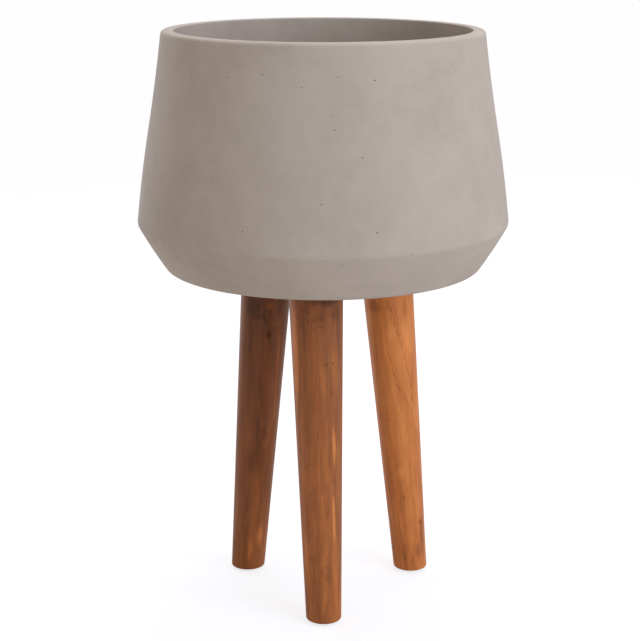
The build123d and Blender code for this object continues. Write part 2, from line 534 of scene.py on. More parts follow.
@dataclass
class CastPot:
    """The cast pot: a turned shell with pads, bolt holes, a drain and pin holes.

    Sizes are in millimetres, with heights counted from the underside.
    """

    fold_height: float = 49.8
    rim_radius: float = 171.0
    fold_radius: float = 200.6
    base_radius: float = 170.0
    wall: float = 13.0
    floor: float = 16.0
    chamfer_bow: float = 0.8
    wall_swell: float = 0.9
    wall_hollow: float = 0.7
    wall_middle_bow: float = 0.4
    rim_outer_round: float = 4.5
    rim_inner_round: float = 1.2
    fold_round: float = 9.0
    base_round: float = 7.5
    inner_fold_round: float = 12.0
    inner_floor_round: float = 14.0
    floor_fall: float = 2.5
    pad_radius: float = 21.0
    pad_height: float = 2.5
    pad_round: float = 1.8
    drain_radius: float = 12.0
    drain_seat_radius: float = 18.5
    drain_seat_depth: float = 2.0
    drain_lip: float = 1.5
    bolt_hole_radius: float = 4.5
    row: float = 3.8
    facets: int = 360
    pad_facets: int = 96
    drill_facets: int = 48
    overrun: float = 5.0

    # Pin holes that the photograph shows, the plain ones first
    plain_holes_px: Sequence[tuple[float, float]] = (
        (301, 87), (339, 78), (374, 81), (251, 110), (334, 129), (363, 158), (213, 182),
        (322, 205), (243, 232), (376, 232), (293, 251), (341, 266),
    )
    faint_holes_px: Sequence[tuple[float, float]] = (
        (318, 62), (262, 74), (227, 77), (281, 141), (438, 146), (421, 172), (412, 254),
        (455, 70), (330, 117), (313, 93), (235, 246), (251, 245),
    )
    plain_hole: float = 0.95
    faint_hole: float = 0.7
    hole_sizes: tuple[float, float] = (0.9, 1.15)
    hole_squash: tuple[float, float] = (0.85, 1.15)
    hole_sink: float = 0.7
    hole_spread: float = 0.4
    hidden_from: float = 75.0
    hidden_holes: int = 64
    inner_holes: int = 24
    seed: int = 11

    @property
    def base_level(self) -> float:
        """Height of the underside above the floor, in metres."""
        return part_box("pot")[0][2]

    @property
    def height(self) -> float:
        """Height of the pot."""
        return (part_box("pot")[1][2] - self.base_level) / MM

    def inset_corner(self, before: Vector, corner: Vector, after: Vector) -> Vector:
        """Find the corner of the wall's inner face opposite an outer corner.

        Args:
            before: The outer corner before it.
            corner: The outer corner itself.
            after: The outer corner after it.

        Returns:
            The inner corner.
        """
        below = (corner - before).normalized()
        above = (after - corner).normalized()
        offsets = [Vector((-way.y, way.x)) for way in (below, above)]
        return corner + (offsets[0] + offsets[1]) * self.wall / (1 + offsets[0].dot(offsets[1]))

    def bowed_middle(self, low: Vector, high: Vector) -> Vector:
        """The middle of one face of the wall, a little outside the straight line."""
        run = (high - low).normalized()
        return (low + high) / 2 + Vector((run.y, -run.x)) * self.wall_middle_bow

    def section(self) -> Section:
        """Draw the section of wall and floor.

        Returns:
            The closed section, once round from the drain's mouth.
        """
        base = Vector((self.base_radius, 0))
        fold = Vector((self.fold_radius, self.fold_height))
        rim = Vector((self.rim_radius, self.height))
        lean = rim - fold
        chamfer = fold - base
        inner_fold = self.inset_corner(base, fold, rim)
        inner_rim = inner_fold + lean * (self.height - inner_fold.y) / lean.y
        inner_floor = inner_fold + chamfer * (self.floor - inner_fold.y) / chamfer.y
        outside = self.bowed_middle(fold, rim)
        inside = self.bowed_middle(inner_fold, inner_rim)
        seat_share = self.drain_seat_radius / inner_floor.x
        seat_edge = self.floor - self.floor_fall * (1 - seat_share)
        seat = self.floor - self.floor_fall - self.drain_seat_depth
        half_rows = round(lean.length / self.row / 2)
        return Section(closed=True, corners=(
            Corner(self.drain_radius + self.drain_lip, 0, cuts=4),
            Corner(*base, self.base_round, self.chamfer_bow, round(chamfer.length / self.row)),
            Corner(*fold, self.fold_round, self.wall_swell, half_rows),
            Corner(*outside, 0, -self.wall_hollow, half_rows),
            Corner(*rim, self.rim_outer_round),
            Corner(*inner_rim, self.rim_inner_round, self.wall_hollow, half_rows),
            Corner(*inside, 0, -self.wall_swell, half_rows),
            Corner(*inner_fold, self.inner_fold_round, cuts=4),
            Corner(*inner_floor, self.inner_floor_round, cuts=12),
            Corner(self.drain_seat_radius, seat_edge),
            Corner(self.drain_seat_radius, seat),
            Corner(self.drain_radius, seat),
            Corner(self.drain_radius, self.drain_lip),
        ))

    def at_bolts(self, tool: bpy.types.Object) -> bpy.types.Object:
        """Repeat a tool at the three bolts, in the pot's own height.

        Args:
            tool: A tool modelled on the axis, which is used up.

        Returns:
            One mesh with a copy of the tool at each bolt.
        """
        copies = []
        for side in Side:
            bolt = middle(f"hanger_bolt_{side.value}")
            step = Vector((bolt.x, bolt.y, self.base_level))
            copies.append(moved_copy(tool, f"{tool.name}_{side.value}", step))
        bpy.data.objects.remove(tool, do_unlink=True)
        return join(copies)

    def pads(self) -> bpy.types.Object:
        """Turn the raised pads that keep the washers out of the wet.

        Returns:
            One mesh with the three pads.
        """
        top = self.floor + self.pad_height
        section = Section((
            Corner(0, self.floor - self.overrun),
            Corner(self.pad_radius, self.floor - self.overrun),
            Corner(self.pad_radius, top, self.pad_round),
            Corner(0, top),
        ))
        return self.at_bolts(turned("pads", section, self.pad_facets))

    def bolt_holes(self) -> bpy.types.Object:
        """Turn the drills for the bolt holes.

        Returns:
            One mesh with the three drills.
        """
        section = Section((
            Corner(0, -self.overrun),
            Corner(self.bolt_hole_radius, -self.overrun),
            Corner(self.bolt_hole_radius, self.floor + self.overrun),
            Corner(0, self.floor + self.overrun),
        ))
        return self.at_bolts(turned("bolt_holes", section, self.drill_facets))

    def hole_casts(self, camera: PhotoCamera) -> list[tuple[Vector, Vector, float]]:
        """Lines that find the pin holes' places on the pot.

        Args:
            camera: The photograph's viewpoint, for the holes that it shows.

        Returns:
            The start and way of each line, and the hole's radius in millimetres.
        """
        chance = random.Random(self.seed)
        casts = []
        for pixels, radius in (
            (self.plain_holes_px, self.plain_hole), (self.faint_holes_px, self.faint_hole),
        ):
            for pixel in pixels:
                casts.append((*camera.ray(pixel), radius * chance.uniform(*self.hole_sizes)))
        low = self.base_level + self.base_round * MM
        high = self.base_level + (self.height - self.rim_outer_round) * MM
        for _ in range(self.hidden_holes):
            turn = chance.choice((-1, 1)) * chance.uniform(math.radians(self.hidden_from), math.pi)
            way = Vector((math.sin(turn), -math.cos(turn), 0))
            height = Vector((0, 0, chance.uniform(low, high)))
            start = way * self.fold_radius * 2 * MM + height
            casts.append((start, -way, chance.uniform(self.faint_hole, self.plain_hole)))
        for _ in range(self.inner_holes):
            turn = chance.uniform(-math.pi, math.pi)
            way = Vector((math.sin(turn), -math.cos(turn), 0))
            height = chance.uniform(self.base_level + self.fold_height * MM, high)
            start = Vector((0, 0, height))
            casts.append((start, way, chance.uniform(self.faint_hole, self.plain_hole)))
        return casts

    def pin_holes(self, pot: bpy.types.Object, camera: PhotoCamera) -> bpy.types.Object:
        """The bubbles that leave the pin holes, each sunk a little under the face.

        Each is drawn towards the middle of its facet, so that it leaves a clean edge.

        Args:
            pot: The pot before its pin holes.
            camera: The photograph's viewpoint.

        Returns:
            One mesh with all the bubbles.
        """
        chance = random.Random(self.seed)
        bubbles = []
        for start, way, radius in self.hole_casts(camera):
            found, point, normal, face = pot.ray_cast(start, way)
            if not found:
                continue
            point = pot.data.polygons[face].center.lerp(point, self.hole_spread)
            deselect()
            bpy.ops.mesh.primitive_ico_sphere_add(
                subdivisions=2, radius=radius * MM,
                location=point - normal * radius * self.hole_sink * MM,
                rotation=[chance.uniform(0, math.tau) for _ in range(3)],
                scale=[chance.uniform(*self.hole_squash) for _ in range(3)])
            bubbles.append(bpy.context.object)
        cloud = join(bubbles)
        bpy.ops.object.transform_apply(location=True, rotation=True, scale=True)
        return cloud

    def build(self, camera: PhotoCamera, cement: bpy.types.Material) -> bpy.types.Object:
        """Model the pot and set it on its legs.

        Args:
            camera: The photograph's viewpoint, for the pin holes.
            cement: The pot's finish.

        Returns:
            The finished piece.
        """
        pot = turned("cast_pot", self.section(), self.facets)
        pot.data.transform(Matrix.Translation((0, 0, self.base_level)))
        combine(pot, self.pads(), Operation.JOIN)
        combine(pot, self.bolt_holes(), Operation.CUT)
        bpy.context.view_layer.update()
        combine(pot, self.pin_holes(pot, camera), Operation.CUT)
        activate(pot)
        bpy.ops.object.shade_smooth_by_angle(angle=SHARP_ANGLE)
        pot.data.materials.clear()
        dress(pot, cement)
        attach(pot, "planter")
        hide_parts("pot")
        return pot


@dataclass(frozen=True)
class Mark:
    """A soft patch of lighter or darker tone on a leg: most are the wood's own figure, and those noted
    in FIGURES are painted light and painted shade.

    The pixel is its middle in the photograph. Its half sizes across and along the leg are in
    millimetres, its tone is added to the wood's, and its edge is the share that fades.
    """

    pixel: tuple[float, float]
    size: tuple[float, float]
    tone: float
    edge: float = 0.8


@dataclass(frozen=True)
class Crack:
    """A fine dark line along the grain, from pixel to pixel of the photograph."""

    pixels: Sequence[tuple[float, float]]
    width: float
    tone: float


@dataclass(frozen=True)
class Layer:
    """One scale of the wood's figure, with its sizes across and along the leg.

    The gain is how much it changes the wood's tone or, where it bends a pattern, how many
    millimetres it moves it.
    """

    across: float
    along: float
    detail: float
    gain: float


@dataclass(frozen=True)
class Figure:
    """What sets one leg apart from the others': its wood, and the painted light and shade among its
    marks.

    The tones run from the top to the foot. The pith is the middle of the growth rings,
    in millimetres beside and behind the leg's axis, and the drift is how it moves away
    for each millimetre up the leg.
    """

    tones: tuple[float, float]
    pith: tuple[float, float]
    drift: tuple[float, float]
    marks: Sequence[Mark]
    cracks: Sequence[Crack] = ()


FIGURES = {
    Side.LEFT: Figure(
        tones=(0.23, 0.50), pith=(-14.0, 36.0), drift=(0.01, 0.02),
        marks=(
            Mark((253, 307), (15.0, 16.0), -0.13),
            Mark((281, 303), (12.0, 6.0), -0.10),
            Mark((271, 314), (3.6, 9.0), -0.08),
            Mark((262, 425), (12.0, 62.0), -0.10),
            Mark((257, 438), (8.0, 46.0), -0.08),
            # Painted highlight along the leg's lit right edge
            Mark((277, 372), (3.2, 80.0), 0.20),
            Mark((269, 306), (6.0, 6.0), 0.17),
            Mark((258, 317), (14.0, 5.0), -0.08),
            Mark((281, 311), (5.0, 10.0), -0.10),
            Mark((268.5, 335.5), (4.4, 6.5), -0.17),
            Mark((266, 322), (3.5, 9.0), -0.09),
            Mark((272, 348.5), (7.0, 1.4), -0.07),
            Mark((259, 388), (5.5, 28.0), -0.13),
            Mark((262, 401), (1.8, 16.0), -0.05),
            Mark((264, 434), (4.6, 13.0), -0.11),
            Mark((246.6, 417), (0.5, 3.5), 0.16),
            Mark((252, 462), (12.0, 22.0), -0.13),
            Mark((236, 520), (3.0, 40.0), 0.07),
            Mark((239, 475), (4.5, 62.0), 0.07),
            Mark((257, 492), (4.5, 27.0), 0.05),
            Mark((246, 537), (4.0, 27.0), -0.09),
            Mark((259.5, 536), (6.5, 20.0), 0.21),
            Mark((248, 548), (13.0, 22.0), 0.06),
        )),
    Side.FRONT: Figure(
        tones=(0.50, 0.61), pith=(8.0, 40.0), drift=(0.0, -0.035),
        marks=(
            # Painted shadow of the pot across the leg's top, in this mark and the next
            Mark((325, 301), (26.0, 9.5), -0.36),
            Mark((336, 313), (8.0, 15.0), -0.12),
            # Painted light along the leg's lit left side, in this mark and the next two
            Mark((297, 376), (5.0, 38.0), 0.08),
            Mark((303, 495), (4.5, 115.0), 0.06),
            Mark((295, 350), (9.0, 58.0), 0.12, 0.4),
            Mark((322, 318), (10.0, 18.0), -0.07),
            # Painted shade down the right side of the leg's top, under the pot
            Mark((338.5, 335), (5.0, 50.0), -0.17),
            # Painted light along the leg's left side, in this mark and the next
            Mark((298, 390), (4.0, 20.0), 0.07),
            Mark((306, 560), (9.0, 62.0), 0.06),
            Mark((303.5, 330), (2.6, 38.0), -0.13),
            Mark((306, 325), (5.5, 34.0), -0.05),
            Mark((321, 320), (3.0, 2.2), -0.13),
            Mark((334, 315), (3.4, 2.4), -0.10),
            Mark((321.5, 327), (4.2, 1.3), -0.13),
            Mark((323, 333.5), (3.2, 1.1), -0.09),
            Mark((325.5, 364), (5.0, 1.6), -0.18),
            Mark((333.3, 363), (2.4, 3.0), -0.20),
            Mark((298.5, 425), (2.6, 30.0), -0.10),
            Mark((331, 392.5), (2.2, 4.5), -0.11),
            Mark((317.5, 400), (0.9, 13.0), 0.10),
            Mark((318, 437), (1.2, 8.0), -0.09),
            Mark((334, 446), (3.0, 26.0), 0.28, 0.6),
            Mark((310, 464), (2.4, 2.6), -0.12),
            Mark((334, 519), (2.8, 34.0), 0.28, 0.6),
            Mark((315, 540), (8.0, 62.0), 0.05),
            Mark((329, 565), (4.0, 46.0), -0.07),
            Mark((322, 499.5), (1.2, 9.0), 0.10),
            Mark((314.3, 512), (2.2, 1.2), -0.09),
            Mark((313, 533), (2.2, 1.4), -0.09),
            Mark((327, 515), (2.4, 4.5), -0.07),
            Mark((312, 559), (6.0, 3.5), -0.07),
            Mark((327, 577), (4.0, 7.0), -0.07),
            Mark((339.5, 583), (4.0, 36.0), -0.08),
        ),
        cracks=(
            Crack(((321, 576), (323, 570), (325, 566.5), (328, 569.5), (331.5, 574)), 0.7, -0.12),
        )),
    Side.RIGHT: Figure(
        tones=(0.86, 0.73), pith=(-22.0, 28.0), drift=(-0.02, 0.035),
        marks=(
            Mark((374, 307), (13.0, 10.0), -0.17, 0.7),
            Mark((387, 307), (2.6, 9.0), -0.14),
            Mark((388, 365), (14.0, 82.0), 0.08),
            Mark((405, 309), (6.0, 17.0), -0.11),
            Mark((367, 308), (4.0, 12.0), -0.12),
            Mark((402, 440), (7.0, 55.0), 0.07),
            Mark((392, 333), (8.0, 12.0), 0.11),
            Mark((400, 474), (6.5, 11.0), 0.13),
            Mark((419, 480), (3.6, 90.0), -0.06),
            Mark((422, 537), (6.5, 42.0), -0.20),
            Mark((393, 465), (5.0, 19.0), 0.07),
            Mark((396, 508), (4.2, 27.0), 0.08),
            Mark((409, 522), (3.2, 25.0), -0.07),
            Mark((419, 550), (6.5, 12.0), -0.09),
            Mark((368, 360), (6.0, 62.0), -0.07),
            Mark((404, 348), (7.0, 46.0), 0.10),
            Mark((386, 402), (7.0, 13.0), 0.05),
            Mark((389, 420), (6.0, 3.0), -0.06),
            Mark((407.5, 470), (4.2, 24.0), 0.12),
            Mark((404.5, 497), (2.2, 7.0), -0.12),
            Mark((420.5, 522), (3.2, 5.0), -0.15),
            Mark((411, 553), (15.0, 19.0), -0.06, 0.5),
            Mark((400, 520), (3.5, 21.0), 0.08),
        ),
        cracks=(
            Crack((
                (387.5, 301), (388, 304.7), (394, 315.4), (395, 328.3), (400, 338.3),
                (403, 351), (405.7, 365.4), (410, 378), (411.5, 392), (411.7, 404)), 0.55, -0.34),
            Crack((
                (386, 338), (387, 347), (391.5, 365.4), (396.4, 382.6), (401.4, 394),
                (405.7, 400.4), (409.5, 405)), 0.55, -0.30),
            Crack(((383, 412), (388, 417), (396, 410), (402, 420)), 0.9, -0.07),
            Crack(((402.5, 489), (404.5, 496), (403.5, 503)), 0.7, -0.12),
            Crack(((416.5, 522.5), (423.5, 520.5)), 0.6, -0.12),
            Crack(((419, 529), (420, 560)), 0.6, -0.07),
            Crack(((414, 532), (415, 556)), 0.5, -0.05),
        )),
}


@dataclass(frozen=True)
class LegAxes:
    """A leg's own axes: z runs up the leg, x across the photograph and y away from it."""

    foot: Vector
    across: Vector
    away: Vector
    along: Vector
    length: float
    foot_radius: float
    top_radius: float

    @classmethod
    def read(cls, side: Side, band: float = 3 * MM) -> "LegAxes":
        """Find a leg's axes in its CAD mesh.

        Args:
            side: Which leg.
            band: Height of the rings of vertices that are measured at each end.

        Returns:
            The axes and the radii at both ends.
        """
        node = f"leg_{side.value}"
        levels = [corner[2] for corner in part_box(node)]
        middles = []
        radii = []
        for level in levels:
            ring = [v.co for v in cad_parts[node].data.vertices if abs(v.co.z - level) < band]
            spans = [(min(co[i] for co in ring), max(co[i] for co in ring)) for i in (0, 1)]
            middles.append(Vector((sum(spans[0]) / 2, sum(spans[1]) / 2, level)))
            radii.append(sum(high - low for low, high in spans) / 4)
        run = middles[1] - middles[0]
        along = run.normalized()
        across = (Vector((1, 0, 0)) - along * along.x).normalized()
        return cls(middles[0], across, along.cross(across), along, run.length, *radii)

    @property
    def taper(self) -> float:
        """How much the radius grows for each metre up the leg."""
        return (self.top_radius - self.foot_radius) / self.length

    @property
    def turn(self) -> Vector:
        """The axes' rotation as XYZ angles."""
        columns = Matrix((self.across, self.away, self.along)).transposed()
        return Vector(columns.to_euler("XYZ"))

    def spot(
        self, camera: PhotoCamera, pixel: tuple[float, float], rounds: int = 6,
        widest: float = 0.98,
    ) -> Vector:
        """Where a pixel of the photograph lies on the leg's unrolled face.

        Args:
            camera: The photograph's viewpoint.
            pixel: Column and row.
            rounds: How often the depth of the face is worked out anew.
            widest: How near to the leg's outline a spot may lie, as a share of the radius.

        Returns:
            The distance round the leg from its front line, and the height up the leg.
        """
        origin, way = camera.ray(pixel)
        depth = 0.0
        for _ in range(rounds):
            reach = (self.away.dot(self.foot - origin) - depth) / self.away.dot(way)
            point = origin + way * reach - self.foot
            height = self.along.dot(point)
            radius = self.foot_radius + self.taper * height
            sine = max(-widest, min(widest, self.across.dot(point) / radius))
            depth = radius * math.sqrt(1 - sine * sine)
        return Vector((math.asin(sine) * radius, height, 0))


@dataclass(frozen=True)
class OiledTeak:
    """Teak turned round, sanded and rubbed with oil.

    It gives the eye warm brown with long soft streaks, a few knots and fine dark pores along
    the grain, under a low oiled sheen that lifts the edges. Some of its marks are painted light and
    painted shade.
    """

    axes: LegAxes
    figure: Figure
    name: str
    # The darkest stop is the wood's darkest tone and also the colour of the painted shadow at the front
    # leg's top
    ramp: Sequence[tuple[float, str]] = (
        (0.0, "381c0c"), (0.2, "64381e"), (0.4, "804a28"), (0.55, "985a32"), (0.75, "c67740"),
        (1.0, "e29354"),
    )
    red: str = "8e4824"
    layers: Sequence[Layer] = (
        Layer(16.0, 85.0, 3.0, 0.20),
        Layer(6.0, 60.0, 2.0, 0.13),
        Layer(1.8, 34.0, 2.0, 0.08),
    )
    ring_mm: float = 5.5
    ring_gain: float = 0.04
    ring_warp: Layer = Layer(40.0, 160.0, 2.0, 5.0)
    ring_waver: float = 1.2
    ring_waver_detail: float = 2.0
    ring_waver_scale: float = 1.5
    # Pores are drawn wider than real ones so that they show
    pore: Layer = Layer(0.8, 11.0, 1.0, -0.065)
    pore_range: tuple[float, float] = (0.56, 0.72)
    wobble: Layer = Layer(9.0, 26.0, 2.0, 2.2)
    wobble_stretch: float = 3.0
    blush: Layer = Layer(22.0, 70.0, 2.0, 0.15)
    blush_range: tuple[float, float] = (0.45, 0.75)
    soft_edge: float = 0.7
    roughness: tuple[float, float] = (0.40, 0.56)
    specular: float = 0.32
    pore_depth_mm: float = 0.12
    pore_bump: float = 0.5
    hidden_marks: int = 12
    hidden_heights: tuple[float, float] = (0.05, 0.95)
    hidden_turns: tuple[float, float] = (95.0, 165.0)
    hidden_widths: tuple[float, float] = (1.5, 5.0)
    hidden_lengths: tuple[float, float] = (3.0, 30.0)
    hidden_tones: tuple[float, float] = (-0.14, 0.12)
    seed: int = 5

    def stretched(self, tree: bpy.types.NodeTree, place: Any, layer: Layer) -> bpy.types.Node:
        """Add a noise at a layer's size.

        Args:
            tree: The material's node tree.
            place: The socket with the place in the leg's own axes.
            layer: The sizes of the noise across and along the leg.

        Returns:
            The noise node.
        """
        scale = [1 / (size * MM) for size in (layer.across, layer.across, layer.along)]
        sized = add_node(tree, "VectorMath", {"operation": "MULTIPLY"}, {0: place, 1: scale})
        return add_node(tree, "TexNoise", None, {
            "Vector": sized.outputs[0], "Scale": 1.0, "Detail": layer.detail})

    def rings(self, tree: bpy.types.NodeTree, place: Any) -> Any:
        """Add the growth rings about the pith.

        Args:
            tree: The material's node tree.
            place: The socket with the place in the leg's own axes.

        Returns:
            The socket with the rings' height, from early to late wood.
        """
        parts = add_node(tree, "SeparateXYZ", None, {0: place})
        pith = self.figure.pith
        drift = self.figure.drift
        offsets = [
            add_node(tree, "Math", {"operation": "MULTIPLY_ADD"}, {
                0: parts.outputs[2], 1: -drift[i], 2: -pith[i] * MM}).outputs[0]
            for i in (0, 1)
        ]
        away = add_node(tree, "CombineXYZ", None, {0: offsets[0], 1: offsets[1]})
        shifted = add_node(tree, "VectorMath", {"operation": "ADD"}, {
            0: place, 1: away.outputs[0]})
        warp = self.stretched(tree, place, self.ring_warp)
        bend = add_node(tree, "VectorMath", {"operation": "MULTIPLY_ADD"}, {
            0: warp.outputs["Color"], 1: [2 * self.ring_warp.gain * MM] * 3, 2: shifted.outputs[0]})
        waves = add_node(tree, "TexWave", {
            "wave_type": "RINGS", "rings_direction": "Z", "wave_profile": "SAW"}, {
            "Vector": bend.outputs[0], "Scale": math.tau / 20 / (self.ring_mm * MM),
            "Distortion": self.ring_waver, "Detail": self.ring_waver_detail,
            "Detail Scale": self.ring_waver_scale})
        return waves.outputs["Fac"]

    def unrolled(self, tree: bpy.types.NodeTree, place: Any) -> Any:
        """Add the place on the unrolled face, with a little wobble.

        Args:
            tree: The material's node tree.
            place: The socket with the place in the leg's own axes.

        Returns:
            The socket with the distance round the leg and the height.
        """
        parts = add_node(tree, "SeparateXYZ", None, {0: place})
        front = add_node(tree, "Math", {"operation": "MULTIPLY"}, {0: parts.outputs[1], 1: -1.0})
        angle = add_node(tree, "Math", {"operation": "ARCTAN2"}, {
            0: parts.outputs[0], 1: front.outputs[0]})
        radius = add_node(tree, "Math", {"operation": "MULTIPLY_ADD"}, {
            0: parts.outputs[2], 1: self.axes.taper, 2: self.axes.foot_radius})
        round_leg = add_node(tree, "Math", {"operation": "MULTIPLY"}, {
            0: angle.outputs[0], 1: radius.outputs[0]})
        face = add_node(tree, "CombineXYZ", None, {
            0: round_leg.outputs[0], 1: parts.outputs[2]})
        wobble = self.stretched(tree, place, self.wobble)
        centred = add_node(tree, "VectorMath", {"operation": "SUBTRACT"}, {
            0: wobble.outputs["Color"], 1: (0.5, 0.5, 0.5)})
        reach = (self.wobble.gain * MM, self.wobble_stretch * self.wobble.gain * MM, 0)
        return add_node(tree, "VectorMath", {"operation": "MULTIPLY_ADD"}, {
            0: centred.outputs[0], 1: reach, 2: face.outputs[0]}).outputs[0]

    def patch(
        self, tree: bpy.types.NodeTree, face: Any, spot: Vector, size: tuple[float, float],
        lean: float, edge: float,
    ) -> Any:
        """Add the mask of one soft patch on the unrolled face.

        Args:
            tree: The material's node tree.
            face: The socket with the place on the unrolled face.
            spot: The patch's middle.
            size: Its half sizes in metres.
            lean: Its turn from the leg's length.
            edge: The share of it that fades.

        Returns:
            The socket with the mask, one in the middle and zero outside.
        """
        centred = add_node(tree, "Mapping", {"vector_type": "TEXTURE"}, {
            "Vector": face, "Location": spot, "Rotation": (0, 0, lean), "Scale": (*size, 1)})
        reach = add_node(tree, "VectorMath", {"operation": "LENGTH"}, {0: centred.outputs[0]})
        return add_node(tree, "MapRange", {"interpolation_type": "SMOOTHSTEP"}, {
            "Value": reach.outputs["Value"], "From Min": 1.0, "From Max": 1 - edge}).outputs[0]

    def crack(
        self, tree: bpy.types.NodeTree, face: Any, spots: Sequence[Vector], width: float,
    ) -> Any:
        """Add the mask of a crack that runs from spot to spot.

        Args:
            tree: The material's node tree.
            face: The socket with the place on the unrolled face.
            spots: The crack's corners.
            width: Its half width in metres.

        Returns:
            The socket with the mask.
        """
        line: Any = 0.0
        for start, end in zip(spots, spots[1:]):
            run = end - start
            size = (width, run.length / 2 + width)
            lean = math.atan2(-run.x, run.y)
            piece = self.patch(tree, face, (start + end) / 2, size, lean, self.soft_edge)
            line = add_node(tree, "Math", {"operation": "MAXIMUM"}, {0: line, 1: piece}).outputs[0]
        return line

    def plain_tone(self, tree: bpy.types.NodeTree, place: Any, rings: Any) -> Any:
        """Add the wood's tone before its marks.

        Args:
            tree: The material's node tree.
            place: The socket with the place in the leg's own axes.
            rings: The socket with the growth rings.

        Returns:
            The socket with the tone, from dark to light.
        """
        top, foot = self.figure.tones
        height = add_node(tree, "SeparateXYZ", None, {0: place}).outputs[2]
        tone = add_node(tree, "Math", {"operation": "MULTIPLY_ADD"}, {
            0: height, 1: (top - foot) / self.axes.length, 2: foot}).outputs[0]
        for layer in self.layers:
            noise = self.stretched(tree, place, layer)
            centred = add_node(tree, "Math", {"operation": "SUBTRACT"}, {
                0: noise.outputs["Fac"], 1: 0.5})
            tone = add_node(tree, "Math", {"operation": "MULTIPLY_ADD"}, {
                0: centred.outputs[0], 1: layer.gain * 2, 2: tone}).outputs[0]
        tone = add_node(tree, "Math", {"operation": "MULTIPLY_ADD"}, {
            0: rings, 1: -self.ring_gain * 2, 2: tone}).outputs[0]
        return add_node(tree, "Math", {"operation": "ADD"}, {0: tone, 1: self.ring_gain}).outputs[0]

    def marked_tone(
        self, tree: bpy.types.NodeTree, face: Any, tone: Any, camera: PhotoCamera,
    ) -> Any:
        """Add the marks that the photograph shows, painted light and shade among them, and a few on the
        leg's hidden side.

        Args:
            tree: The material's node tree.
            face: The socket with the place on the unrolled face.
            tone: The socket with the tone before the marks.
            camera: The photograph's viewpoint.

        Returns:
            The socket with the marked tone.
        """
        for mark in self.figure.marks:
            size = (mark.size[0] * MM, mark.size[1] * MM)
            mask = self.patch(tree, face, self.axes.spot(camera, mark.pixel), size, 0.0, mark.edge)
            tone = add_node(tree, "Math", {"operation": "MULTIPLY_ADD"}, {
                0: mask, 1: mark.tone, 2: tone}).outputs[0]
        chance = random.Random(self.seed + len(self.figure.marks))
        for _ in range(self.hidden_marks):
            up = chance.uniform(*self.hidden_heights) * self.axes.length
            turn = chance.choice((-1, 1)) * math.radians(chance.uniform(*self.hidden_turns))
            spot = Vector((turn * (self.axes.foot_radius + self.axes.taper * up), up, 0))
            size = (chance.uniform(*self.hidden_widths) * MM, chance.uniform(*self.hidden_lengths) * MM)
            mask = self.patch(tree, face, spot, size, 0.0, self.soft_edge)
            tone = add_node(tree, "Math", {"operation": "MULTIPLY_ADD"}, {
                0: mask, 1: chance.uniform(*self.hidden_tones), 2: tone}).outputs[0]
        return tone

    def cracked_tone(
        self, tree: bpy.types.NodeTree, face: Any, tone: Any, camera: PhotoCamera,
    ) -> tuple[Any, Any]:
        """Add the fine cracks that the photograph shows.

        Args:
            tree: The material's node tree.
            face: The socket with the place on the unrolled face.
            tone: The socket with the tone before the cracks.
            camera: The photograph's viewpoint.

        Returns:
            The sockets with the darkened tone and with the mask of all cracks.
        """
        splits: Any = 0.0
        for crack in self.figure.cracks:
            spots = [self.axes.spot(camera, pixel) for pixel in crack.pixels]
            mask = self.crack(tree, face, spots, crack.width * MM)
            tone = add_node(tree, "Math", {"operation": "MULTIPLY_ADD"}, {
                0: mask, 1: crack.tone, 2: tone}).outputs[0]
            splits = add_node(tree, "Math", {"operation": "MAXIMUM"}, {
                0: splits, 1: mask}).outputs[0]
        return tone, splits

    def coloured(self, tree: bpy.types.NodeTree, place: Any, tone: Any) -> Any:
        """Turn the tone into the wood's colours, with a redder blush here and there.

        Args:
            tree: The material's node tree.
            place: The socket with the place in the leg's own axes.
            tone: The socket with the finished tone.

        Returns:
            The socket with the colour.
        """
        ramp = add_node(tree, "ValToRGB", None, {"Fac": tone})
        stops = ramp.color_ramp.elements
        for position, colour in self.ramp[1:-1]:
            stops.new(position).color = linear(colour)
        stops[0].color = linear(self.ramp[0][1])
        stops[-1].color = linear(self.ramp[-1][1])
        blush = add_node(tree, "MapRange", {"interpolation_type": "SMOOTHSTEP"}, {
            "Value": self.stretched(tree, place, self.blush).outputs["Fac"],
            "From Min": self.blush_range[0], "From Max": self.blush_range[1],
            "To Max": self.blush.gain})
        return add_node(tree, "MixRGB", None, {
            "Fac": blush.outputs[0], "Color1": ramp.outputs["Color"],
            "Color2": linear(self.red)}).outputs["Color"]

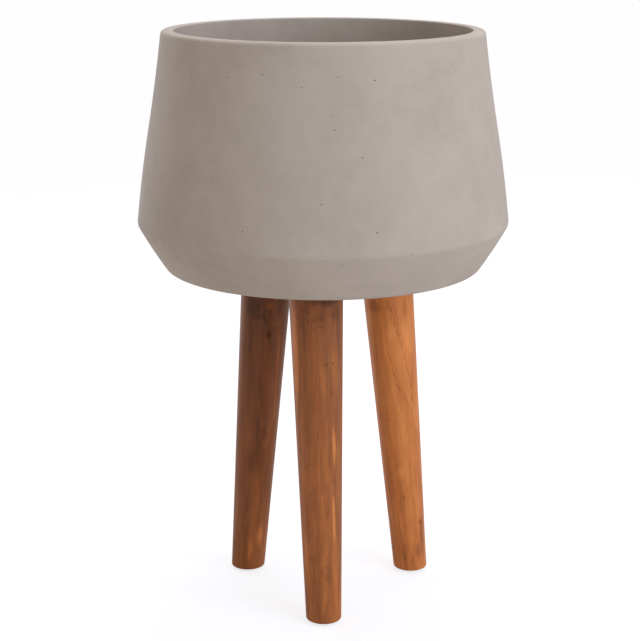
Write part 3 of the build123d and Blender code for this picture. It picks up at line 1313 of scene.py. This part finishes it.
    def build(self, camera: PhotoCamera) -> bpy.types.Material:
        """Make the material.

        Args:
            camera: The photograph's viewpoint, for the marks that it shows.

        Returns:
            The finished material.
        """
        material, tree = new_material(self.name)
        world = add_node(tree, "TexCoord").outputs["Object"]
        place = add_node(tree, "Mapping", {"vector_type": "TEXTURE"}, {
            "Vector": world, "Location": self.axes.foot, "Rotation": self.axes.turn}).outputs[0]
        rings = self.rings(tree, place)
        face = self.unrolled(tree, place)
        tone = self.plain_tone(tree, place, rings)
        tone = self.marked_tone(tree, face, tone, camera)
        tone, splits = self.cracked_tone(tree, face, tone, camera)
        pores = add_node(tree, "MapRange", {"interpolation_type": "SMOOTHSTEP"}, {
            "Value": self.stretched(tree, place, self.pore).outputs["Fac"],
            "From Min": self.pore_range[0], "From Max": self.pore_range[1]}).outputs[0]
        tone = add_node(tree, "Math", {"operation": "MULTIPLY_ADD", "use_clamp": True}, {
            0: pores, 1: self.pore.gain, 2: tone}).outputs[0]
        grain = add_node(tree, "Math", {"operation": "ADD"}, {0: pores, 1: splits})
        relief = add_node(tree, "Math", {"operation": "MULTIPLY_ADD"}, {
            0: grain.outputs[0], 1: -1.0, 2: rings})
        bump = add_node(tree, "Bump", None, {
            "Strength": self.pore_bump, "Distance": self.pore_depth_mm * MM,
            "Height": relief.outputs[0]})
        gloss = add_node(tree, "MapRange", None, {
            "Value": grain.outputs[0],
            "To Min": self.roughness[0], "To Max": self.roughness[1]})
        shader = add_node(tree, "BsdfPrincipled", None, {
            "Base Color": self.coloured(tree, place, tone),
            "Roughness": gloss.outputs[0],
            "Specular IOR Level": self.specular,
            "Normal": bump.outputs["Normal"]})
        add_node(tree, "OutputMaterial", None, {"Surface": shader.outputs["BSDF"]})
        return material


@dataclass
class TurnedLeg:
    """One turned leg: the CAD solid in its own figured teak."""

    side: Side

    def build(self, camera: PhotoCamera) -> bpy.types.Object:
        """Dress the leg.

        Args:
            camera: The photograph's viewpoint, for the marks that it shows.

        Returns:
            The leg's object.
        """
        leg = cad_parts[f"leg_{self.side.value}"]
        teak = OiledTeak(
            LegAxes.read(self.side), FIGURES[self.side], f"teak_turned_and_oiled_{self.side.value}")
        dress(leg, teak.build(camera))
        return leg


@dataclass(frozen=True)
class ZincPlatedSteel:
    """Steel pressed or rolled to shape and zinc plated.

    It gives the eye a pale grey metal with a soft gloss and faint cloudy spangle.
    """

    name: str = "steel_zinc_plated"
    bright: str = "b2b5b6"
    dull: str = "8d9193"
    spangle_mm: float = 2.4
    spangle_detail: float = 3.0
    spangle_height_mm: float = 0.02
    spangle_bump: float = 0.2
    roughness: tuple[float, float] = (0.36, 0.52)

    def build(self) -> bpy.types.Material:
        """Make the material.

        Returns:
            The finished material.
        """
        material, tree = new_material(self.name)
        place = add_node(tree, "TexCoord").outputs["Object"]
        spangle = add_node(tree, "TexNoise", None, {
            "Vector": place, "Scale": 1 / (self.spangle_mm * MM), "Detail": self.spangle_detail})
        colour = add_node(tree, "MixRGB", None, {
            "Fac": spangle.outputs["Fac"],
            "Color1": linear(self.dull), "Color2": linear(self.bright)})
        gloss = add_node(tree, "MapRange", None, {
            "Value": spangle.outputs["Fac"],
            "To Min": self.roughness[1], "To Max": self.roughness[0]})
        bump = add_node(tree, "Bump", None, {
            "Strength": self.spangle_bump, "Distance": self.spangle_height_mm * MM,
            "Height": spangle.outputs["Fac"]})
        shader = add_node(tree, "BsdfPrincipled", None, {
            "Base Color": colour.outputs["Color"],
            "Metallic": 1.0,
            "Roughness": gloss.outputs[0],
            "Normal": bump.outputs["Normal"]})
        add_node(tree, "OutputMaterial", None, {"Surface": shader.outputs["BSDF"]})
        return material


@dataclass(frozen=True)
class MouldedPolymer:
    """Rubber or nylon moulded in a lightly eroded tool.

    It gives the eye one even colour with a fine leathery grain and dusty duller patches.
    """

    name: str
    fresh: str
    worn: str
    roughness: tuple[float, float]
    # The grain is drawn coarser than a real tool's so that it shows
    grain_mm: float = 0.35
    grain_detail: float = 1.0
    grain_height_mm: float = 0.03
    grain_bump: float = 0.3
    patch_mm: float = 7.0
    patch_detail: float = 4.0

    def build(self) -> bpy.types.Material:
        """Make the material.

        Returns:
            The finished material.
        """
        material, tree = new_material(self.name)
        place = add_node(tree, "TexCoord").outputs["Object"]
        patch = add_node(tree, "TexNoise", None, {
            "Vector": place, "Scale": 1 / (self.patch_mm * MM), "Detail": self.patch_detail})
        grain = add_node(tree, "TexNoise", None, {
            "Vector": place, "Scale": 1 / (self.grain_mm * MM), "Detail": self.grain_detail})
        colour = add_node(tree, "MixRGB", None, {
            "Fac": patch.outputs["Fac"],
            "Color1": linear(self.fresh), "Color2": linear(self.worn)})
        gloss = add_node(tree, "MapRange", None, {
            "Value": patch.outputs["Fac"],
            "To Min": self.roughness[0], "To Max": self.roughness[1]})
        bump = add_node(tree, "Bump", None, {
            "Strength": self.grain_bump, "Distance": self.grain_height_mm * MM,
            "Height": grain.outputs["Fac"]})
        shader = add_node(tree, "BsdfPrincipled", None, {
            "Base Color": colour.outputs["Color"],
            "Roughness": gloss.outputs[0],
            "Normal": bump.outputs["Normal"]})
        add_node(tree, "OutputMaterial", None, {"Surface": shader.outputs["BSDF"]})
        return material


@dataclass(frozen=True)
class Thread:
    """A screw thread in millimetres, with its crest and root as shares of the pitch."""

    root: float
    crest: float
    pitch: float
    crest_share: float
    root_share: float
    facets: int = 32

    def rod(self, name: str, low: float, high: float) -> bpy.types.Object:
        """Wind the thread between two heights and cap both ends.

        Args:
            name: The new piece's name.
            low: The lower end in metres.
            high: The upper end in metres.

        Returns:
            A closed rod on the upright axis.
        """
        flank = (1 - self.crest_share - self.root_share) / 2
        start = low / MM - self.pitch
        section = Section((
            Corner(self.root, start),
            Corner(self.root, start + self.pitch * self.root_share),
            Corner(self.crest, start + self.pitch * (self.root_share + flank)),
            Corner(self.crest, start + self.pitch * (1 - flank)),
            Corner(self.root, start + self.pitch),
        ))
        rod = draw(name, section.points())
        bpy.ops.object.mode_set(mode="OBJECT")
        bpy.ops.object.modifier_add(type="SCREW")
        screw = rod.modifiers[-1]
        screw.screw_offset = self.pitch * MM
        screw.iterations = math.ceil((high - low) / MM / self.pitch) + 2
        screw.steps = screw.render_steps = self.facets
        bpy.ops.object.modifier_apply(modifier=screw.name)
        edit_all(rod)
        bpy.ops.mesh.remove_doubles(threshold=WELD)
        for level, keep_above in ((low, True), (high, False)):
            bpy.ops.mesh.select_all(action="SELECT")
            bpy.ops.mesh.bisect(
                plane_co=(0, 0, level), plane_no=(0, 0, 1), use_fill=True,
                clear_inner=keep_above, clear_outer=not keep_above)
        bpy.ops.mesh.select_all(action="SELECT")
        close_edit()
        return rod


@dataclass
class HangerBolts:
    """Three hanger bolts: a machine thread up in the pot and a wood thread down in the leg."""

    machine: Thread = Thread(root=3.4, crest=4.0, pitch=1.25, crest_share=0.13, root_share=0.25)
    wood: Thread = Thread(root=2.7, crest=3.6, pitch=3.2, crest_share=0.06, root_share=0.5)
    neck: float = 3.0
    smooth_angle: float = 20.0

    def blank(self, centre: Vector) -> bpy.types.Object:
        """Copy the bolt's CAD solid, as it is before its threads are cut.

        Args:
            centre: The bolt's place on the floor.

        Returns:
            The welded copy, moved to the upright axis.
        """
        blank = moved_copy(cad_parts["hanger_bolt_front"], "bolt", -centre)
        blank.data.materials.clear()
        edit_all(blank)
        close_edit()
        return blank

    def build(self, steel: bpy.types.Material) -> list[bpy.types.Object]:
        """Model one bolt and copy it to the three legs.

        Args:
            steel: The bolts' finish.

        Returns:
            The three bolts.
        """
        low, high = (Vector(corner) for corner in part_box("hanger_bolt_front"))
        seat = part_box("leg_front")[1][2]
        middle_front = middle("hanger_bolt_front")
        centre = Vector((middle_front.x, middle_front.y, 0))
        bolt = self.machine.rod("machine_thread", seat - self.neck * MM / 2, high.z + self.neck * MM)
        wood = self.wood.rod("wood_thread", low.z - self.neck * MM, seat)
        combine(bolt, wood, Operation.JOIN, Solver.ANY)
        combine(bolt, self.blank(centre), Operation.KEEP, Solver.ANY)
        activate(bolt)
        bpy.ops.object.shade_smooth_by_angle(angle=math.radians(self.smooth_angle))
        bolts = []
        for side in Side:
            place = middle(f"hanger_bolt_{side.value}")
            piece = moved_copy(bolt, f"threaded_bolt_{side.value}", Vector((place.x, place.y, 0)))
            piece.data.materials.clear()
            dress(piece, steel)
            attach(piece, "planter")
            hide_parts(f"hanger_bolt_{side.value}")
            bolts.append(piece)
        bpy.data.objects.remove(bolt, do_unlink=True)
        return bolts


@dataclass
class MouldedPlug:
    """The drain plug, moulded hollow from below and dished on top of its knob.

    Sizes are in millimetres, with heights counted from the stem's end.
    """

    stem: float = 11.7
    stem_tip: float = 10.9
    lead: float = 1.5
    seat: float = 9.5
    flange: float = 17.7
    flange_height: float = 3.0
    flange_round: float = 1.0
    neck: float = 4.5
    neck_round: float = 1.0
    knob: float = 8.5
    knob_height: float = 5.0
    knob_round: float = 2.2
    dish: float = 5.4
    dish_depth: float = 1.1
    hollow: float = 6.8
    hollow_depth: float = 3.2
    soft_edge: float = 0.4
    facets: int = 96

    def section(self) -> Section:
        """Draw the section of the plug.

        Returns:
            The section, from the middle of its hollow to the middle of its dish.
        """
        low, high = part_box("drain_plug")
        top = (high[2] - low[2]) / MM
        flange_top = self.seat + self.flange_height
        knob_base = top - self.knob_height
        return Section((
            Corner(0, self.hollow_depth),
            Corner(self.hollow - self.dish_depth, self.hollow_depth, self.dish_depth),
            Corner(self.hollow, 0, self.soft_edge),
            Corner(self.stem_tip - self.lead, 0, self.soft_edge),
            Corner(self.stem_tip, self.lead, self.soft_edge),
            Corner(self.stem, self.seat),
            Corner(self.flange, self.seat, self.soft_edge),
            Corner(self.flange, flange_top, self.flange_round),
            Corner(self.neck, flange_top, self.neck_round),
            Corner(self.neck, knob_base, self.neck_round),
            Corner(self.knob, knob_base, self.knob_round),
            Corner(self.knob, top, self.knob_round),
            Corner(self.dish, top, self.soft_edge),
            Corner(self.dish - self.dish_depth, top - self.dish_depth, self.soft_edge),
            Corner(0, top - self.dish_depth),
        ))

    def build(self, rubber: bpy.types.Material) -> bpy.types.Object:
        """Model the plug in its drain.

        Args:
            rubber: The plug's finish.

        Returns:
            The finished piece.
        """
        plug = turned("moulded_plug", self.section(), self.facets)
        plug.data.transform(Matrix.Translation((0, 0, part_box("drain_plug")[0][2])))
        plug.data.materials.clear()
        dress(plug, rubber)
        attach(plug, "plug")
        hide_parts("drain_plug")
        return plug


@dataclass
class Fittings:
    """The washers, nuts, nails and glides, which keep their CAD solids."""

    steel: bpy.types.Material
    rubber: bpy.types.Material
    nylon: bpy.types.Material

    def build(self) -> list[bpy.types.Object]:
        """Dress each fitting in its finish.

        Returns:
            The dressed objects.
        """
        finishes = {
            "penny_washer": self.steel, "hex_nut": self.steel, "glide_nail": self.steel,
            "sealing_washer": self.rubber, "foot_glide": self.nylon,
        }
        dressed = []
        for kind, finish in finishes.items():
            for side in Side:
                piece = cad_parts[f"{kind}_{side.value}"]
                dress(piece, finish)
                dressed.append(piece)
        return dressed


@dataclass(frozen=True)
class Light:
    """One soft lamp of the studio."""

    name: str
    place: tuple[float, float, float]
    aim: tuple[float, float, float]
    size: tuple[float, float]
    watts: float
    tint: str = "ffffff"

    def build(self) -> bpy.types.Object:
        """Hang the lamp and turn it to its aim.

        Returns:
            The lamp object.
        """
        data = bpy.data.lights.new(self.name, "AREA")
        data.shape = "RECTANGLE"
        data.size, data.size_y = self.size
        data.energy = self.watts
        data.color = linear(self.tint)[:3]
        lamp = bpy.data.objects.new(self.name, data)
        lamp.location = self.place
        way = Vector(self.aim) - Vector(self.place)
        lamp.rotation_euler = way.to_track_quat("-Z", "Y").to_euler()
        bpy.context.scene.collection.objects.link(lamp)
        return lamp


@dataclass
class Studio:
    """White floor, white surround and soft lamps."""

    surround: float = 0.60
    surround_tint: str = "fff6e8"
    floor_size: float = 24.0
    floor_drop: float = 0.1 * MM
    under_foot: float = 1.0 * MM
    floor_bounce: str = "dbd7d0"
    floor_seen: str = "9b9da5"
    floor_tint: str = "fdfdff"
    floor_glow: tuple[float, float] = (0.77, 0.815)
    glow_reach: tuple[float, float] = (0.5, 6.0)
    lamps: Sequence[Light] = field(default_factory=lambda: (
        Light(
            "key", place=(1.9, -1.5, 1.4), aim=(0, 0, 0.42), size=(1.5, 1.5), watts=32.6,
            tint="edf5ff"),
        Light(
            "edge", place=(-1.35, 1.55, 0.42), aim=(0, 0, 0.48), size=(0.7, 0.5), watts=11.0,
            tint="dfe6ff"),
        Light(
            "top", place=(0.1, 0.6, 2.45), aim=(0, 0, 0.6), size=(1.0, 1.0), watts=20.0,
            tint="fbfaff"),
    ))

    def light_world(self) -> None:
        """Make the surround light the object softly and show white."""
        world = bpy.data.worlds.new("studio_surround")
        bpy.context.scene.world = world
        world.use_nodes = True
        tree = world.node_tree
        tree.nodes.clear()
        rays = add_node(tree, "LightPath")
        seen = add_node(tree, "Math", {"operation": "MAXIMUM"}, {
            0: rays.outputs["Is Camera Ray"], 1: rays.outputs["Is Glossy Ray"]})
        soft = add_node(tree, "Background", None, {
            "Color": linear(self.surround_tint), "Strength": self.surround})
        white = add_node(tree, "Background", None, {"Color": linear("ffffff"), "Strength": 1.0})
        shown = add_node(tree, "MixShader", None, {
            0: seen.outputs[0], 1: soft.outputs[0], 2: white.outputs[0]})
        add_node(tree, "OutputWorld", None, {"Surface": shown.outputs[0]})

    def lay_floor(self) -> bpy.types.Object:
        """Lay the floor that shows white and keeps the shadow.

        It is clear from below and right under the feet, so that their undersides show.

        Returns:
            The floor object.
        """
        deselect()
        bpy.ops.mesh.primitive_plane_add(size=self.floor_size, location=(0, 0, -self.floor_drop))
        floor = bpy.context.object
        floor.name = "studio_floor"
        material, tree = new_material("studio_floor_white")
        rays = add_node(tree, "LightPath")
        bounce = add_node(tree, "BsdfDiffuse", None, {"Color": linear(self.floor_bounce)})
        seen = add_node(tree, "BsdfDiffuse", None, {"Color": linear(self.floor_seen)})
        place = add_node(tree, "TexCoord").outputs["Object"]
        reach = add_node(tree, "VectorMath", {"operation": "LENGTH"}, {0: place})
        level = add_node(tree, "MapRange", None, {
            "Value": reach.outputs["Value"],
            "From Min": self.glow_reach[0], "From Max": self.glow_reach[1],
            "To Min": self.floor_glow[0], "To Max": self.floor_glow[1]})
        glow = add_node(tree, "Emission", None, {
            "Color": linear(self.floor_tint), "Strength": level.outputs["Result"]})
        bright = add_node(tree, "AddShader", None, {0: seen.outputs[0], 1: glow.outputs[0]})
        above = add_node(tree, "MixShader", None, {
            0: rays.outputs["Is Camera Ray"], 1: bounce.outputs[0], 2: bright.outputs[0]})
        below = add_node(tree, "BsdfTransparent")
        touching = add_node(tree, "Math", {"operation": "LESS_THAN"}, {
            0: rays.outputs["Ray Length"], 1: self.under_foot})
        clear = add_node(tree, "Math", {"operation": "MAXIMUM"}, {
            0: add_node(tree, "NewGeometry").outputs["Backfacing"], 1: touching.outputs[0]})
        surface = add_node(tree, "MixShader", None, {
            0: clear.outputs[0], 1: above.outputs[0], 2: below.outputs[0]})
        add_node(tree, "OutputMaterial", None, {"Surface": surface.outputs[0]})
        floor.data.materials.append(material)
        return floor

    def build(self) -> None:
        """Light the scene and lay the floor."""
        self.light_world()
        self.lay_floor()
        for lamp in self.lamps:
            lamp.build()


def main() -> None:
    """Build every part of the scene in order."""
    logging.basicConfig(level=logging.INFO, format="%(name)s: %(message)s")
    bpy.context.scene.view_settings.view_transform = "Standard"
    camera = PhotoCamera()
    camera.build()
    Studio().build()
    pot = CastPot().build(camera, FibreCement().build())
    log.info("%s: %d faces", pot.name, len(pot.data.polygons))
    for side in Side:
        leg = TurnedLeg(side).build(camera)
        log.info("%s: dressed", leg.name)
    steel = ZincPlatedSteel().build()
    for bolt in HangerBolts().build(steel):
        log.info("%s: %d faces", bolt.name, len(bolt.data.polygons))
    rubber = MouldedPolymer(
        "rubber_moulded_black", fresh="191918", worn="2a2927", roughness=(0.52, 0.72)).build()
    nylon = MouldedPolymer(
        "nylon_moulded_brown", fresh="5c402b", worn="6d523c", roughness=(0.38, 0.52)).build()
    plug = MouldedPlug().build(rubber)
    log.info("%s: %d faces", plug.name, len(plug.data.polygons))
    for fitting in Fittings(steel, rubber, nylon).build():
        log.info("%s: dressed", fitting.name)


if __name__ == "__main__":
    main()
